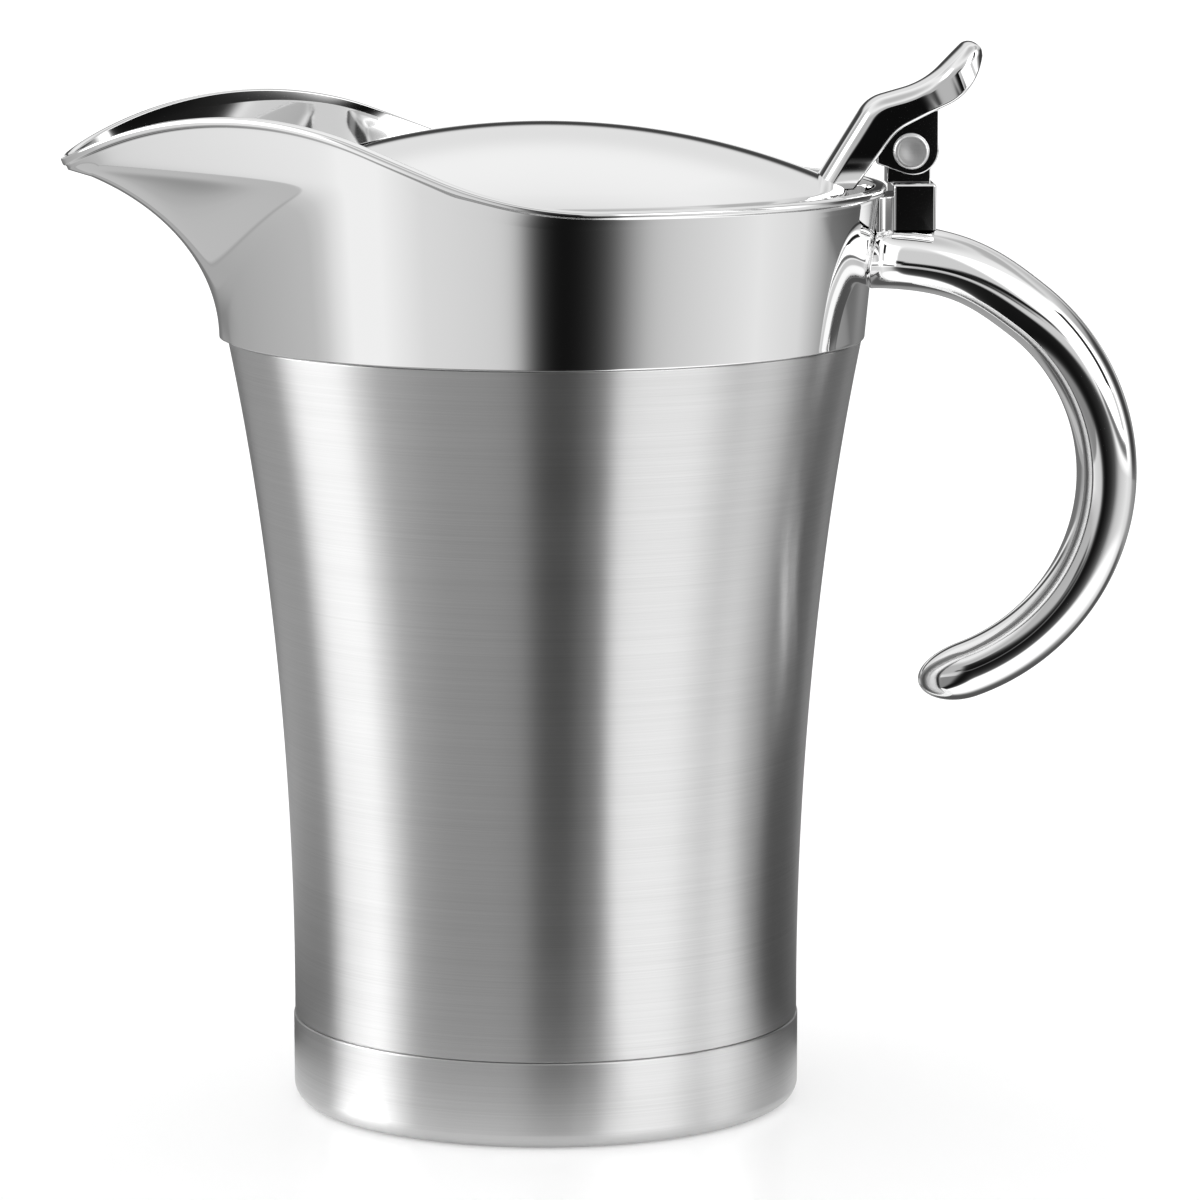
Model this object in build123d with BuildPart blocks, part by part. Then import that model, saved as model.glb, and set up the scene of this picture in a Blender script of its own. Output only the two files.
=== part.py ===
from build123d import *
import math
import os

os.makedirs("parts", exist_ok=True)

# Overall frame: origin on the vessel's axis at the surface it stands on, +Z up,
# the spout points to -X and the handle and hinge to +X. All sizes are in millimetres.

# Thickness of the pressed sheet pieces
shell_wall = 0.8
liner_wall = 0.8
collar_wall = 1.0
lid_wall = 0.8

# Gap left between pieces that are welded or pressed together
weld_gap = 0.05
# Gap between the turning hinge pieces, side to side
hinge_side_gap = 0.2
# Radial gap of the pin in the hole that it turns in
pin_running_gap = 0.05
# How far a cutting shape stands out past what it cuts
cut_overrun = 20.0
# How deep inside the collar the pieces welded to it start, before they are cut to its surface
root_depth = 4.0

# Base cap, the brushed band at the foot
cap_height = 14.4
cap_step = 0.2
cap_corner = 2.8
foot_ring_width = 5.0
cap_recess = 1.6
cap_recess_slope = 2.0

# Outer shell, nearly straight below and flaring to the neck
waist_radius = 42.1
waist_rise = 3.6
flare_radius = 610.0
flare_end_height = 90.0
shoulder_radius = 52.4
shoulder_height = 127.9
neck_rise = 3.3
seam_bevel = 0.25

# Inner liner, the cup that holds the sauce
cavity_gap = 5.0
liner_corner = 9.0
liner_bend_drop = 1.5
deck_corner = 2.5

# Spout collar, with its heights counted from the body's shoulder
collar_step = 0.6
collar_flare = 2.4
collar_hem = 1.0
spout_foot_step = 0.8
spout_flare = 41.5
spout_flare_height = 31.0
spout_tip_rise = 28.5
spout_lip_lean = 0.25
nose_foot_radius = 30.0
nose_rim_radius = 20.0
collar_top_rise = 41.1
section_rises = [5.1, 10.1, 15.1, 19.6, 23.6, 26.6, 29.1, 33.6]

# Rim of the collar as seen from the side
rim_rise = 25.3
rim_rise_x = 8.0
rim_rise_radius = 70.0
rim_slope = 21.8
rim_slope_length = 11.9
rim_crest_radius = 55.0
rim_nose_angle = 50.0
rim_lip_height = 1.4
rim_lip_width = 1.1
rim_lip_nose_width = 0.3

# Lid
lid_rim_gap = 4.4
lid_edge_drop = 0.52
lid_dome_radius = 123.0
lid_edge_round = 2.2
lid_skirt = 2.4
lid_pan_depth = 4.2
lid_pan_inset = 3.0
lid_pan_corner = 2.0

# Hinge, placed from the collar's rim
pivot_ahead = 4.6
pivot_rise = 5.6
pin_radius = 1.8
pin_head_radius = 2.95
pin_head_height = 1.1
tongue_half = 3.0
ear_thickness = 2.8
tongue_end_radius = 3.5
tongue_back = 3.7
post_step = 0.4
post_back = 2.9
post_front = 4.2
post_shoulder_drop = 5.3
post_sunk = 1.4
post_web_flare = 3.2
post_web_drop = 2.1

# Thumb lever: an S-shaped arm, seen from the side, with a foot on the lid and a pad for the thumb.
# Both its lines start behind the pivot and below it.
arm_top_back = 16.2
arm_top_drop = 6.6
arm_top_angle = 58.0
arm_top_length = 15.1
arm_shoulder_radius = 6.5
arm_saddle_angle = 16.0
arm_saddle_length = 3.8
arm_dip_radius = 14.0
pad_angle = 45.0
pad_length = 5.3
arm_under_back = 9.3
arm_under_drop = 6.2
arm_under_angle = 54.0
arm_under_length = 9.8
arm_elbow_radius = 9.0
arm_belly_angle = 27.0
arm_belly_length = 7.0
pad_belly_radius = 11.0
pad_end_angle = 80.0
# The same lever seen from above
foot_back = 16.5
foot_half = 9.5
lever_half = 6.5
lever_waist_back = 7.5
lever_neck_ahead = 2.5
pad_half = 8.0
pad_end_length = 3.7
lever_round = 1.4
lever_under_round = 0.5
lever_middle_angle = 49.5
lever_middle_rise = 2.2
ear_radius = 4.2
ear_centre_ahead = 0.4
ear_centre_rise = 0.3
ear_lean = 19.0
ear_rise = 6.8
ear_rear_length = 4.85
ear_rear_height = 4.0
heel_length = 3.4
heel_drop = 1.6

# Handle, an open hook cast in one piece
handle_root_drop = 11.9
handle_centre_ahead = 9.7
handle_centre_drop = 36.85
handle_arc_radius = 34.85
handle_join_angle = 52.0
handle_tip_angle = -84.0
handle_tip_length = 8.5
handle_root_pull = 18.0
handle_join_pull = 11.0
handle_root_half_height = 5.4
handle_tip_half_height = 4.5
handle_corner = 4.4
handle_flare_half_width = 13.9
handle_half_width = 8.0
handle_tip_half_width = 5.8
handle_flare_length = 3.8
handle_root_length = 17.0

# Places that follow from the sizes above
cap_radius = waist_radius + cap_step
waist_height = cap_height + waist_rise
liner_floor_height = waist_height - liner_bend_drop - liner_corner
neck_height = shoulder_height + neck_rise
collar_foot_radius = shoulder_radius + collar_step
spout_foot_reach = collar_foot_radius + spout_foot_step
spout_tip_height = shoulder_height + spout_tip_rise
collar_top = shoulder_height + collar_top_rise
rim_height = shoulder_height + rim_rise
rim_radius = collar_foot_radius + collar_flare
lid_radius = rim_radius - collar_wall - lid_rim_gap
lid_edge_z = rim_height - lid_edge_drop
lid_apex = lid_edge_z + lid_dome_radius - math.sqrt(lid_dome_radius ** 2 - lid_radius ** 2)
pivot_x = rim_radius + pivot_ahead
pivot_z = rim_height + pivot_rise
ear_outer = tongue_half + hinge_side_gap + ear_thickness
post_half = ear_outer + post_step
root_x = collar_foot_radius - root_depth
handle_root_z = rim_height - handle_root_drop
handle_centre_x = root_x + handle_centre_ahead
handle_centre_z = handle_root_z - handle_centre_drop
post_back_x = pivot_x - post_back
post_front_x = pivot_x + post_front
post_shoulder_z = pivot_z - post_shoulder_drop
post_foot_z = handle_root_z + handle_root_half_height - post_sunk
arm_top_start = (pivot_x - arm_top_back, pivot_z - arm_top_drop)
arm_under_start = (pivot_x - arm_under_back, pivot_z - arm_under_drop)


def back_radius(z):
    """Outside radius of the collar's round back at height z."""
    return collar_foot_radius + collar_flare * (z - shoulder_height) / rim_rise


def nose_radius(z):
    """Radius of the spout's rounded nose, seen from above, at height z."""
    share = min(1.0, (z - shoulder_height) / spout_tip_rise)
    return nose_foot_radius + (nose_rim_radius - nose_foot_radius) * share


def spout_reach(z):
    """How far the front of the collar stands from the axis at height z."""
    rise = min(z - shoulder_height, spout_tip_rise)
    bow = spout_flare * (1 - math.sqrt(1 - (rise / spout_flare_height) ** 2))
    return spout_foot_reach + bow + spout_lip_lean * max(0.0, z - spout_tip_height)


def teardrop(z, inset, nose_inset=None):
    """Section of the collar at height z: a back circle and a nose circle joined by tangents."""
    back = back_radius(z) - inset
    nose = nose_radius(z) - (inset if nose_inset is None else nose_inset)
    nose_x = -(spout_reach(z) - nose_radius(z))
    lean = math.asin((back - nose) / -nose_x)
    back_x, back_y = -back * math.sin(lean), back * math.cos(lean)
    side_x, side_y = nose_x - nose * math.sin(lean), nose * math.cos(lean)
    with BuildSketch(Plane.XY.offset(z)) as section:
        with BuildLine():
            ThreePointArc((back_x, -back_y), (back, 0), (back_x, back_y))
            Line((back_x, back_y), (side_x, side_y))
            ThreePointArc((side_x, side_y), (nose_x - nose, 0), (side_x, -side_y))
            Line((side_x, -side_y), (back_x, -back_y))
        make_face()
    return section.sketch


def collar_sections(first_z, inset, nose_inset=None):
    """Sections from a first height to above the rim, all drawn in by the same inset."""
    heights = [shoulder_height + rise for rise in section_rises] + [collar_top]
    heights = [first_z] + [z for z in heights if z > first_z + 1]
    return [teardrop(z, inset, nose_inset) for z in heights]


def above_rim(drop):
    """Everything above the rim line, or above a line that lies a little below it."""
    low = rim_height - drop
    high = collar_top + cut_overrun
    back = rim_radius + cut_overrun
    with BuildSketch(Plane.XZ) as side:
        with BuildLine():
            flat = Line((back, low), (rim_rise_x, low))
            rise = JernArc(flat @ 1, (-1, 0), rim_rise_radius, -rim_slope)
            slope = Line(rise @ 1, rise @ 1 + (rise % 1) * rim_slope_length)
            crest = JernArc(slope @ 1, slope % 1, rim_crest_radius, rim_slope + rim_nose_angle)
            front = crest @ 1 + (crest % 1) * cut_overrun
            Polyline(crest @ 1, front, (front.X, high), (back, high), (back, low))
        make_face()
    return extrude(side.sketch, back, both=True)


def body_side(inset, start_z):
    """Side line of the body, straight at the foot and flaring to the shoulder, moved inwards."""
    flare_turn = math.degrees(math.asin((flare_end_height - waist_height) / flare_radius))
    low = Line((waist_radius - inset, start_z), (waist_radius - inset, waist_height))
    flare = JernArc(low @ 1, (0, 1), flare_radius + inset, -flare_turn)
    return TangentArc(flare @ 1, (shoulder_radius - inset, shoulder_height), tangent=flare % 1)


def ahead(point, length, angle):
    """The point that lies a length away from another in a direction given in degrees."""
    turn = math.radians(angle)
    return (point[0] + length * math.cos(turn), point[1] + length * math.sin(turn))


def post_plan(margin):
    """Hinge post seen from above: a block with concave flanks running out to the collar."""
    with BuildSketch() as plan:
        with BuildLine():
            side = post_half + margin
            wide = side + post_web_flare
            flank = Spline((root_x, wide), (post_back_x + post_web_flare, side),
                           tangents=((0.35, -1), (1, 0)))
            Line(flank @ 1, (post_front_x + margin, side))
            Line((post_front_x + margin, side), (post_front_x + margin, 0))
            Line((root_x, wide), (root_x, 0))
            mirror(about=Plane.XZ)
        make_face()
    return plan.sketch


def lever_side():
    """Side outline of the thumb lever, its top line and its under line joined at both ends."""
    with BuildSketch(Plane.XZ) as side:
        with BuildLine():
            top = Line(arm_top_start, ahead(arm_top_start, arm_top_length, arm_top_angle))
            top = JernArc(top @ 1, top % 1, arm_shoulder_radius, arm_saddle_angle - arm_top_angle)
            top = Line(top @ 1, top @ 1 + (top % 1) * arm_saddle_length)
            top = JernArc(top @ 1, top % 1, arm_dip_radius, pad_angle - arm_saddle_angle)
            top = Line(top @ 1, top @ 1 + (top % 1) * pad_length)
            low = Line(arm_under_start, ahead(arm_under_start, arm_under_length, arm_under_angle))
            low = JernArc(low @ 1, low % 1, arm_elbow_radius, arm_belly_angle - arm_under_angle)
            low = Line(low @ 1, low @ 1 + (low % 1) * arm_belly_length)
            low = JernArc(low @ 1, low % 1, pad_belly_radius, pad_end_angle - arm_belly_angle)
            TangentArc(low @ 1, top @ 1, tangent=low % 1)
            Line(arm_top_start, arm_under_start)
        make_face()
    return side.sketch


def ear_side():
    """Side outline of an ear of the lever: a round end about the pin that widens upwards."""
    with BuildSketch(Plane.XZ) as side:
        with BuildLine():
            front_x = pivot_x + ear_centre_ahead + ear_radius
            front = Line((front_x, pivot_z + ear_rise), (front_x, pivot_z + ear_centre_rise))
            bottom = JernArc(front @ 1, (0, -1), ear_radius, -90 - ear_lean)
            rear = Line(bottom @ 1, bottom @ 1 + (bottom % 1) * ear_rear_length)
            Polyline(rear @ 1, rear @ 1 + (0, ear_rear_height), (pivot_x, (front @ 0).Y),
                     front @ 0)
        make_face()
    return side.sketch


def above_middle(point):
    """Whether a point of the lever lies above the slanting line between its top and under sides."""
    run = point.X - arm_under_start[0]
    rise = point.Z - arm_under_start[1]
    return rise > lever_middle_rise + run * math.tan(math.radians(lever_middle_angle))


def lid_solid(margin, low_z):
    """The filled shape of the lid's outside, grown by a margin and standing on a low plane."""
    dome = lid_dome_radius + margin
    side_x = lid_radius + margin
    with BuildPart() as block:
        with BuildSketch(Plane.XZ) as half:
            with BuildLine():
                arc = JernArc((0, lid_apex + margin), (1, 0), dome,
                              -math.degrees(math.asin(side_x / dome)))
                Polyline(arc @ 1, (side_x, low_z), (0, low_z), arc @ 0)
            make_face()
            fillet(half.vertices().group_by(Axis.X)[-1].sort_by(Axis.Y)[-1],
                   lid_edge_round + margin)
        revolve(axis=Axis.Z)
    return block.part


# Base cap: a drawn cup whose rim meets the shell at the seam, with a recessed underside
with BuildPart() as base_cap:
    with BuildSketch(Plane.XZ):
        with BuildLine():
            recess_r = cap_radius - cap_corner - foot_ring_width
            Line((0, cap_recess), (recess_r - cap_recess_slope, cap_recess))
            Line((recess_r - cap_recess_slope, cap_recess), (recess_r, 0))
            Line((recess_r, 0), (cap_radius - cap_corner, 0))
            corner = JernArc((cap_radius - cap_corner, 0), (1, 0), cap_corner, 90)
            Line(corner @ 1, (cap_radius, cap_height))
            offset(amount=shell_wall, side=Side.LEFT)
        make_face()
    revolve(axis=Axis.Z)
    seam_edge = base_cap.edges().group_by(Axis.Z)[-1].sort_by(SortBy.RADIUS)[-1]
    chamfer(seam_edge, seam_bevel)
base_cap.part.label = "base_cap"
export_step(base_cap.part, "parts/base_cap.step")

# Outer shell: brushed body with a neck stepped in to take the collar
neck_radius = back_radius(shoulder_height) - collar_wall - weld_gap
with BuildPart() as outer_shell:
    with BuildSketch(Plane.XZ):
        with BuildLine():
            top = body_side(0, cap_height + weld_gap)
            Line(top @ 1, (neck_radius, shoulder_height))
            Line((neck_radius, shoulder_height), (neck_radius, neck_height))
            offset(amount=shell_wall, side=Side.LEFT)
        make_face()
    revolve(axis=Axis.Z)
    seam_edge = outer_shell.edges().group_by(Axis.Z)[0].sort_by(SortBy.RADIUS)[-1]
    chamfer(seam_edge, seam_bevel)
outer_shell.part.label = "outer_shell"
export_step(outer_shell.part, "parts/outer_shell.step")

# Inner liner: a deep cup with a deck that closes the double wall inside the collar
liner_inset = shell_wall + cavity_gap
deck_outline = teardrop(neck_height, collar_wall + weld_gap)
with BuildPart() as inner_liner:
    with BuildSketch(Plane.XZ):
        with BuildLine():
            liner_radius = waist_radius - liner_inset
            floor = Line((0, liner_floor_height), (liner_radius - liner_corner, liner_floor_height))
            bend = JernArc(floor @ 1, (1, 0), liner_corner, 90)
            top = body_side(liner_inset, liner_floor_height + liner_corner)
            deck_z = neck_height + weld_gap
            lip = Line(top @ 1, ((top @ 1).X, deck_z - deck_corner))
            JernArc(lip @ 1, (0, 1), deck_corner, -90)
            offset(amount=liner_wall, side=Side.LEFT)
        make_face()
    revolve(axis=Axis.Z)
    with BuildSketch(Plane.XY.offset(deck_z)):
        add(deck_outline.moved(Location((0, 0, -neck_height))))
        Circle(shoulder_radius - liner_inset + deck_corner, mode=Mode.SUBTRACT)
    extrude(amount=liner_wall)
inner_liner.part.label = "inner_liner"
export_step(inner_liner.part, "parts/inner_liner.step")

# Spout collar: lofted shell cut to a swept rim, with a flat hem below and a rounded lip on top
collar_foot_z = shoulder_height + weld_gap
outer_sections = collar_sections(collar_foot_z, 0)
inner_sections = collar_sections(collar_foot_z + collar_hem, collar_wall)
lip_foot_z = shoulder_height + rim_rise / 2
lip_sections = collar_sections(lip_foot_z, -rim_lip_width, -rim_lip_nose_width)
over_rim = above_rim(0)
lip_ring = (loft(lip_sections) - loft(outer_sections)) & (above_rim(rim_lip_height) - over_rim)
with BuildPart() as spout_collar:
    loft(sections=outer_sections)
    loft(sections=inner_sections, mode=Mode.SUBTRACT)
    with BuildSketch(Plane.XY.offset(collar_foot_z)):
        Circle(neck_radius + weld_gap)
    extrude(amount=collar_hem * 2, mode=Mode.SUBTRACT)
    add(over_rim, mode=Mode.SUBTRACT)
    add(lip_ring)
spout_collar.part.label = "spout_collar"
export_step(spout_collar.part, "parts/spout_collar.step")

# Handle: a loft along the hook, flared where it is welded to the collar and rounded at its tip
turn = math.radians(handle_join_angle)
join_x = handle_centre_x + handle_arc_radius * math.cos(turn)
join_z = handle_centre_z + handle_arc_radius * math.sin(turn)
with BuildLine(Plane.XZ) as hook:
    Bezier((root_x, handle_root_z),
           (root_x + handle_root_pull, handle_root_z),
           (join_x - handle_join_pull * math.sin(turn), join_z + handle_join_pull * math.cos(turn)),
           (join_x, join_z))
    CenterArc((handle_centre_x, handle_centre_z), handle_arc_radius, handle_join_angle,
              handle_tip_angle - handle_join_angle)
hook_line = hook.wires()[0]
hook_length = hook_line.length
tip_start = hook_length - handle_tip_length
stations = [handle_root_length * (k / 6) ** 1.5 for k in range(6)]
stations += [handle_root_length + (tip_start - handle_root_length) * k / 6 for k in range(7)]
stations += [tip_start + handle_tip_length * math.sin(math.radians(a)) for a in (25, 50, 70, 82)]
handle_sections = []
for along in stations:
    share = along / hook_length
    tip_share = max(0.0, along - tip_start) / handle_tip_length
    shrink = math.sqrt(1 - tip_share ** 2)
    flare = handle_flare_half_width * math.exp(-(along / handle_flare_length) ** 2)
    half_width = (handle_half_width * (1 - share) + handle_tip_half_width * share) * shrink + flare
    half_height = (handle_root_half_height * (1 - share) + handle_tip_half_height * share) * shrink
    corner = min(handle_corner * shrink, 0.93 * half_height)
    square = Plane(hook_line @ share, x_dir=(0, 1, 0), z_dir=hook_line % share)
    with BuildSketch(square) as section:
        RectangleRounded(2 * half_width, 2 * half_height, corner)
    handle_sections.append(section.sketch)
collar_outside = loft(collar_sections(collar_foot_z, -weld_gap))
seat_outline = post_plan(weld_gap).moved(Location((0, 0, post_foot_z)))
with BuildPart() as handle:
    loft(sections=handle_sections)
    add(collar_outside, mode=Mode.SUBTRACT)
    extrude(seat_outline, amount=cut_overrun, mode=Mode.SUBTRACT)
handle.part.label = "handle"
export_step(handle.part, "parts/handle.step")

# Hinge post: a block on the handle's root, webbed to the collar, with a round-ended tongue on top
post_outline = post_plan(0).moved(Location((0, 0, post_foot_z + weld_gap)))
with BuildPart() as hinge_post:
    extrude(post_outline, amount=post_shoulder_z - post_web_drop - post_foot_z - weld_gap)
    with BuildSketch(Plane.XY.offset(post_shoulder_z - post_web_drop)):
        with Locations(((post_back_x + post_front_x) / 2, 0)):
            Rectangle(post_front_x - post_back_x, 2 * post_half)
    extrude(amount=post_web_drop)
    add(collar_outside, mode=Mode.SUBTRACT)
    with BuildSketch(Plane.XZ):
        with BuildLine():
            flat_top = ahead((pivot_x, pivot_z), tongue_end_radius, 90 + arm_under_angle)
            flat_low = ahead(flat_top, -heel_length, arm_under_angle)
            tongue_front = (pivot_x + tongue_end_radius, pivot_z)
            rear_x = pivot_x - tongue_back
            Polyline(flat_top, flat_low, (rear_x, flat_low[1] - heel_drop),
                     (rear_x, post_shoulder_z), (tongue_front[0], post_shoulder_z), tongue_front)
            RadiusArc(tongue_front, flat_top, -tongue_end_radius)
        make_face()
    extrude(amount=tongue_half, both=True)
    with BuildSketch(Plane.XZ):
        with Locations((pivot_x, pivot_z)):
            Circle(pin_radius + pin_running_gap)
    extrude(amount=post_half, both=True, mode=Mode.SUBTRACT)
hinge_post.part.label = "hinge_post"
export_step(hinge_post.part, "parts/hinge_post.step")

# Lid dome: a shallow pressed dome with its edge turned down
lid_skirt_z = lid_edge_z - lid_skirt
lid_outside = lid_solid(0, lid_skirt_z)
lid_inside = lid_solid(-lid_wall, lid_skirt_z)
with BuildPart() as lid_dome:
    add(lid_outside)
    add(lid_inside, mode=Mode.SUBTRACT)
lid_dome.part.label = "lid_dome"
export_step(lid_dome.part, "parts/lid_dome.step")

# Lid underside: a shallow pan whose flange is pressed into the lid's skirt
with BuildPart() as lid_underside:
    with BuildSketch(Plane.XZ):
        with BuildLine():
            pan_radius = lid_radius - lid_pan_inset
            pan_z = lid_skirt_z - lid_pan_depth
            flange_radius = lid_radius - lid_wall - weld_gap
            floor = Line((0, pan_z), (pan_radius - lid_pan_corner, pan_z))
            bend = JernArc(floor @ 1, (1, 0), lid_pan_corner, 90)
            Polyline(bend @ 1, (pan_radius, lid_skirt_z), (flange_radius, lid_skirt_z),
                     (flange_radius, lid_skirt_z + lid_skirt / 2))
            offset(amount=lid_wall, side=Side.LEFT)
        make_face()
    revolve(axis=Axis.Z)
lid_underside.part.label = "lid_underside"
export_step(lid_underside.part, "parts/lid_underside.step")

# Thumb lever: the side outline cut to the outline seen from above, with two ears round the tongue
lever_outline = lever_side()
ear_outline = ear_side()
foot_x = pivot_x - foot_back
pad_end_x = lever_outline.bounding_box().max.X + lever_round / 2
pad_wide_x = pad_end_x - pad_end_length
lid_shape = lid_solid(weld_gap, 0)
with BuildPart() as thumb_lever:
    extrude(lever_outline, amount=2 * foot_half, both=True)
    with BuildSketch(Plane.XY.offset(pivot_z)):
        with BuildLine():
            flank = Spline((foot_x, foot_half), (pivot_x - lever_waist_back, lever_half),
                           tangents=((0.8, -1), (1, 0)))
            neck = Line(flank @ 1, (pivot_x + lever_neck_ahead, lever_half))
            widen = Spline(neck @ 1, (pad_wide_x, pad_half), tangents=((1, 0), (1, 0)))
            Spline(widen @ 1, (pad_end_x, 0), tangents=((1, 0), (0, -1)))
            Line((foot_x, foot_half), (foot_x, 0))
            mirror(about=Plane.XZ)
        make_face()
    extrude(amount=2 * cut_overrun, both=True, mode=Mode.INTERSECT)
    for upper, radius in ((True, lever_round), (False, lever_under_round)):
        fillet([e for e in thumb_lever.edges()
                if abs(e.center().Y) > 0.8 * lever_half and abs(e.tangent_at(0.5).X) > 0.2
                and above_middle(e.center()) == upper], radius)
    extrude(ear_outline, amount=ear_outer, both=True)
    with BuildSketch(Plane.XZ):
        with BuildLine():
            under = Line(arm_under_start,
                         ahead(arm_under_start, arm_under_length, arm_under_angle))
            elbow = JernArc(under @ 1, under % 1, arm_elbow_radius,
                            arm_belly_angle - arm_under_angle)
            belly = Line(elbow @ 1, elbow @ 1 + (elbow % 1) * arm_belly_length)
            Polyline(belly @ 1, belly @ 1 - (0, cut_overrun),
                     (arm_under_start[0], (belly @ 1).Y - cut_overrun), arm_under_start)
        make_face()
    extrude(amount=tongue_half + hinge_side_gap, both=True, mode=Mode.SUBTRACT)
    with BuildSketch(Plane.XZ):
        with Locations((pivot_x, pivot_z)):
            Circle(pin_radius + weld_gap)
    extrude(amount=ear_outer, both=True, mode=Mode.SUBTRACT)
    add(lid_shape, mode=Mode.SUBTRACT)
thumb_lever.part.label = "thumb_lever"
export_step(thumb_lever.part, "parts/thumb_lever.step")

# Hinge pin: a rivet with two low domed heads, tight in the ears and turning in the tongue
head_start = ear_outer + weld_gap
with BuildPart() as hinge_pin:
    with BuildSketch(Plane.XZ):
        with Locations((pivot_x, pivot_z)):
            Circle(pin_radius)
    extrude(amount=head_start + pin_head_height / 2, both=True)
    for side in (1, -1):
        with BuildSketch(Plane.XZ.offset(side * head_start)):
            with Locations((pivot_x, pivot_z)):
                Circle(pin_head_radius)
        extrude(amount=side * pin_head_height)
    for face in (hinge_pin.faces().sort_by(Axis.Y)[0], hinge_pin.faces().sort_by(Axis.Y)[-1]):
        fillet(face.edges(), 0.8 * pin_head_height)
hinge_pin.part.label = "hinge_pin"
export_step(hinge_pin.part, "parts/hinge_pin.step")
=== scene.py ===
# %% [markdown]
# # Insulated gravy boat
# A double-walled steel sauce jug on a white studio table. The jug has a brushed body, a mirror
# polished collar with a broad spout, a cast hook handle and a domed lid on a pinned hinge.
# Lengths are written in millimetres and turned into metres when a mesh is made.

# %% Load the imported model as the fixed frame
import math
import bpy
import numpy as np
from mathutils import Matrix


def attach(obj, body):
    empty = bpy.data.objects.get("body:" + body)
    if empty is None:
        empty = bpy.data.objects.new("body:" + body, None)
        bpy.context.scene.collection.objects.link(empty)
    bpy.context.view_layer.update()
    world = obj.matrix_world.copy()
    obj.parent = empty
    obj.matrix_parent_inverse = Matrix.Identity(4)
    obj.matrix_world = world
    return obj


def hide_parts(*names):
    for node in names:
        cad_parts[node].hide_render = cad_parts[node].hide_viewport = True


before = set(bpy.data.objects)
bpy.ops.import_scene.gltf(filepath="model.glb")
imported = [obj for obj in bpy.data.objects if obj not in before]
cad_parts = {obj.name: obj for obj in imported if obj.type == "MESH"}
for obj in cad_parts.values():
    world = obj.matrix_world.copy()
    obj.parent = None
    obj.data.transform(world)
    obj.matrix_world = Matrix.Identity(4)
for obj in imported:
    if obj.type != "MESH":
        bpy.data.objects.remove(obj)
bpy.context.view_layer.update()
MM = 0.001
print("CAD nodes:", sorted(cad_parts))

# %% [markdown]
# ## Smooth surfaces
# Polished metal shows every facet in its reflections. The CAD surfaces could be shaded smooth,
# but their triangles are long and uneven, so each visible piece is drawn again as a dense grid
# of points from the same sizes. A grid has rows along a profile and columns around the piece,
# which keeps the mesh regular and its shading even.

# %% Helpers that turn grids of points into closed meshes
def grid_object(name, points, ends=(None, None), loop=False):
    """A closed mesh from points[row, column, xyz] in millimetres, whose columns join up in a ring.

    Each face joins neighbouring rows and columns. With loop the last row joins the first, and
    otherwise each end is closed by a fan to the point given in ends, or by a flat face.
    """
    rows, cols = points.shape[:2]
    verts = points.reshape(-1, 3)
    r = np.arange(rows if loop else rows - 1)[:, None]
    c = np.arange(cols)[None, :]
    low, high = r * cols, ((r + 1) % rows) * cols
    quads = np.stack([low + c, low + (c + 1) % cols, high + (c + 1) % cols, high + c], -1)
    faces = quads.reshape(-1, 4).tolist()
    if not loop:
        ring = np.arange(cols)
        for end, start, flip in ((ends[0], 0, True), (ends[1], (rows - 1) * cols, False)):
            here = ring + start
            if end is None:
                faces.append((here[::-1] if flip else here).tolist())
                continue
            verts = np.vstack([verts, end])
            tip = np.full(cols, len(verts) - 1)
            fan = np.stack([here, np.roll(here, -1), tip], -1)
            faces += (fan[:, ::-1] if flip else fan).tolist()
    mesh = bpy.data.meshes.new(name)
    mesh.from_pydata((verts * MM).tolist(), [], faces)
    mesh.validate()
    mesh.polygons.foreach_set("use_smooth", np.ones(len(mesh.polygons), bool))
    obj = bpy.data.objects.new(name, mesh)
    bpy.context.scene.collection.objects.link(obj)
    return obj


def rounded(corners, radii, steps=7):
    """A path through 2-D corners, each corner replaced by an arc of its radius.

    The arc touches both sides at radius / tan(half the angle between them) from the corner.
    """
    path = [np.array(corners[0], float)]
    for before, at, after, radius in zip(corners, corners[1:], corners[2:], radii):
        before, at, after = (np.array(p, float) for p in (before, at, after))
        a, b = (before - at), (after - at)
        a, b = a / np.hypot(*a), b / np.hypot(*b)
        half = math.acos(np.clip(a @ b, -1, 1)) / 2
        centre = at + (a + b) / np.hypot(*(a + b)) * radius / math.sin(half)
        start = at + a * radius / math.tan(half) - centre
        end = at + b * radius / math.tan(half) - centre
        sweep = math.atan2(start[0] * end[1] - start[1] * end[0], start @ end)
        turn = np.linspace(0, sweep, steps)[:, None]
        side = np.array([-start[1], start[0]])
        path += list(centre + start * np.cos(turn) + side * np.sin(turn))
    path.append(np.array(corners[-1], float))
    return np.array(path)


def spun(name, profile, count=288, closed=False):
    """A profile of (radius, height) points turned about the vertical axis.

    x = radius * cos(angle) and y = radius * sin(angle). Points on the axis become poles.
    """
    start = profile[0] if profile[0][0] < 1e-9 else None
    end = profile[-1] if profile[-1][0] < 1e-9 else None
    body = profile[0 if start is None else 1:len(profile) if end is None else -1]
    angle = np.linspace(0, 2 * math.pi, count, endpoint=False)
    points = np.stack([body[:, :1] * np.cos(angle), body[:, :1] * np.sin(angle),
                       np.repeat(body[:, 1:], count, 1)], -1)
    poles = [None if p is None else (0, 0, p[1]) for p in (start, end)]
    return grid_object(name, points, poles, loop=closed)


print("a rounded corner has", len(rounded([(0, 0), (9, 0), (9, 9)], [3])) - 2, "points")

# %% [markdown]
# ## Body and base cap
# The brushed body and the cap under it are spun from sheet, so each is one profile turned about
# the vertical axis. A lathe-like Screw modifier could turn them too, but the grid keeps the
# columns of every turned piece alike. The seam above the cap is a real gap between two profiles.

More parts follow.
